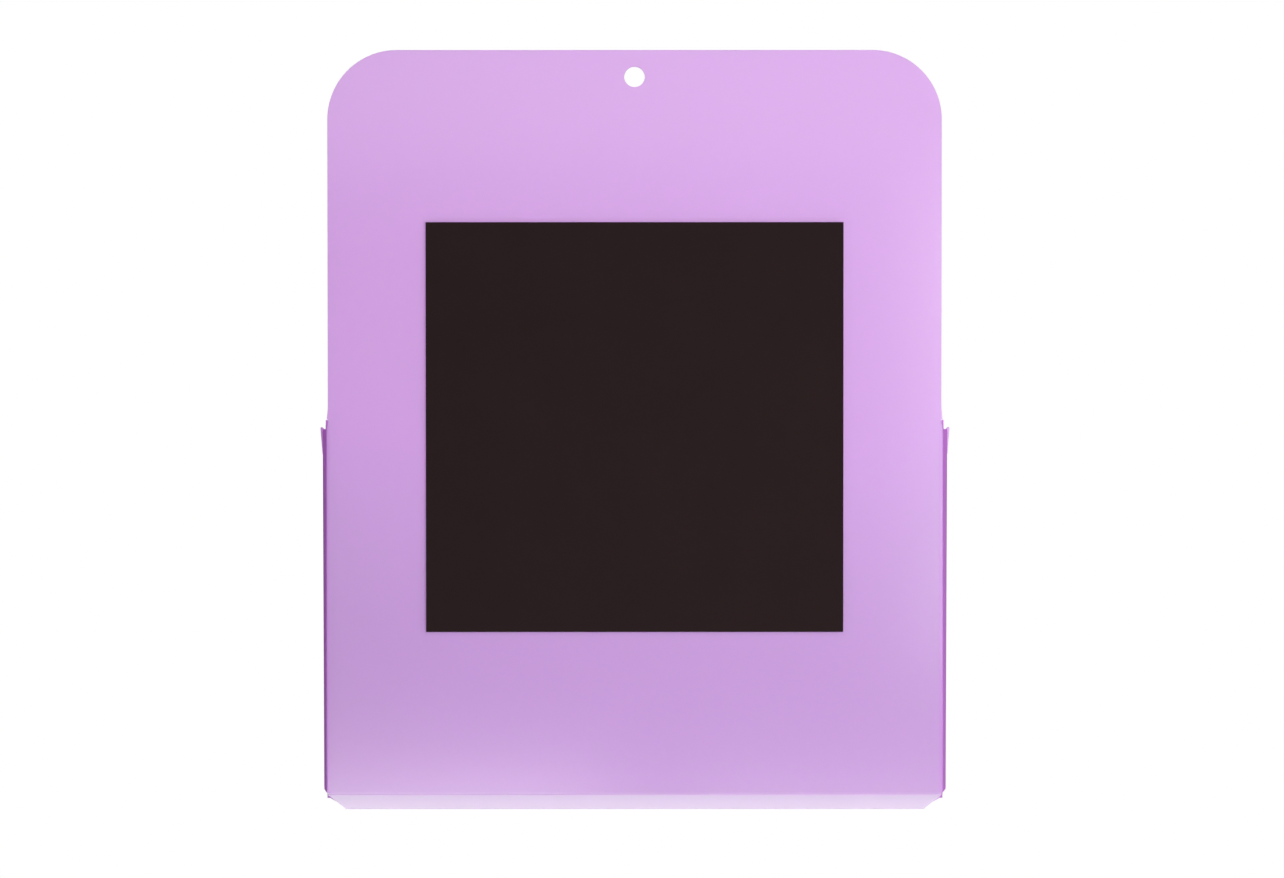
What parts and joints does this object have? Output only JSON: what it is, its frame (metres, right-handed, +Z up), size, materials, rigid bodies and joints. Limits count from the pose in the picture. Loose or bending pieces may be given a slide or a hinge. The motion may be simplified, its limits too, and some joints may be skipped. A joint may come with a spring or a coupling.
{
  "type": "magnetic document pocket",
  "caption": "Open-topped wall pocket folded from one creased plastic sheet, with a flexible magnet sheet on its back and a hanging hole, for loose documents.",
  "frame": {"origin": "centre of the magnet sheet's outer face, which lies on the steel surface that holds the pocket", "axes": "+Z up, +Y out of the back towards the steel surface, so the pocket's front faces -Y; +X to the right for someone facing the front"},
  "size_m": [0.2572, 0.0375, 0.3012],
  "materials": {
    "sheet": "frosted satin, slightly translucent",
    "magnet": "matte",
    "adhesive": "matte"
  },
  "bodies": {
    "back": {"back_panel": "sheet", "magnet_sheet": "magnet", "adhesive_film": "adhesive", "left_wall_crease": "sheet", "right_wall_crease": "sheet", "bottom_crease": "sheet"},
    "left_side": {"left_wall": "sheet"},
    "right_side": {"right_wall": "sheet"},
    "bottom": {"bottom_panel": "sheet", "front_crease": "sheet"},
    "front": {"front_panel": "sheet", "left_wing": "sheet", "right_wing": "sheet", "left_wing_crease": "sheet", "right_wing_crease": "sheet"}
  },
  "joints": [
    {"name": "left_wall_fold", "type": "hinge", "parent": "back", "child": "left_side", "pos_m": [-0.12, -0.0016, 0], "axis": [0, 0, -1], "range_deg": [0, 78.25]},
    {"name": "right_wall_fold", "type": "hinge", "parent": "back", "child": "right_side", "pos_m": [0.12, -0.0016, 0], "axis": [0, 0, 1], "range_deg": [0, 78.25]},
    {"name": "bottom_fold", "type": "hinge", "parent": "back", "child": "bottom", "pos_m": [0, -0.0016, -0.14325], "axis": [1, 0, 0], "range_deg": [0, 66.6]},
    {"name": "front_fold", "type": "hinge", "parent": "bottom", "child": "front", "pos_m": [0, -0.02638, -0.15397], "axis": [1, 0, 0], "range_deg": [0, 109.4]}
  ]
}
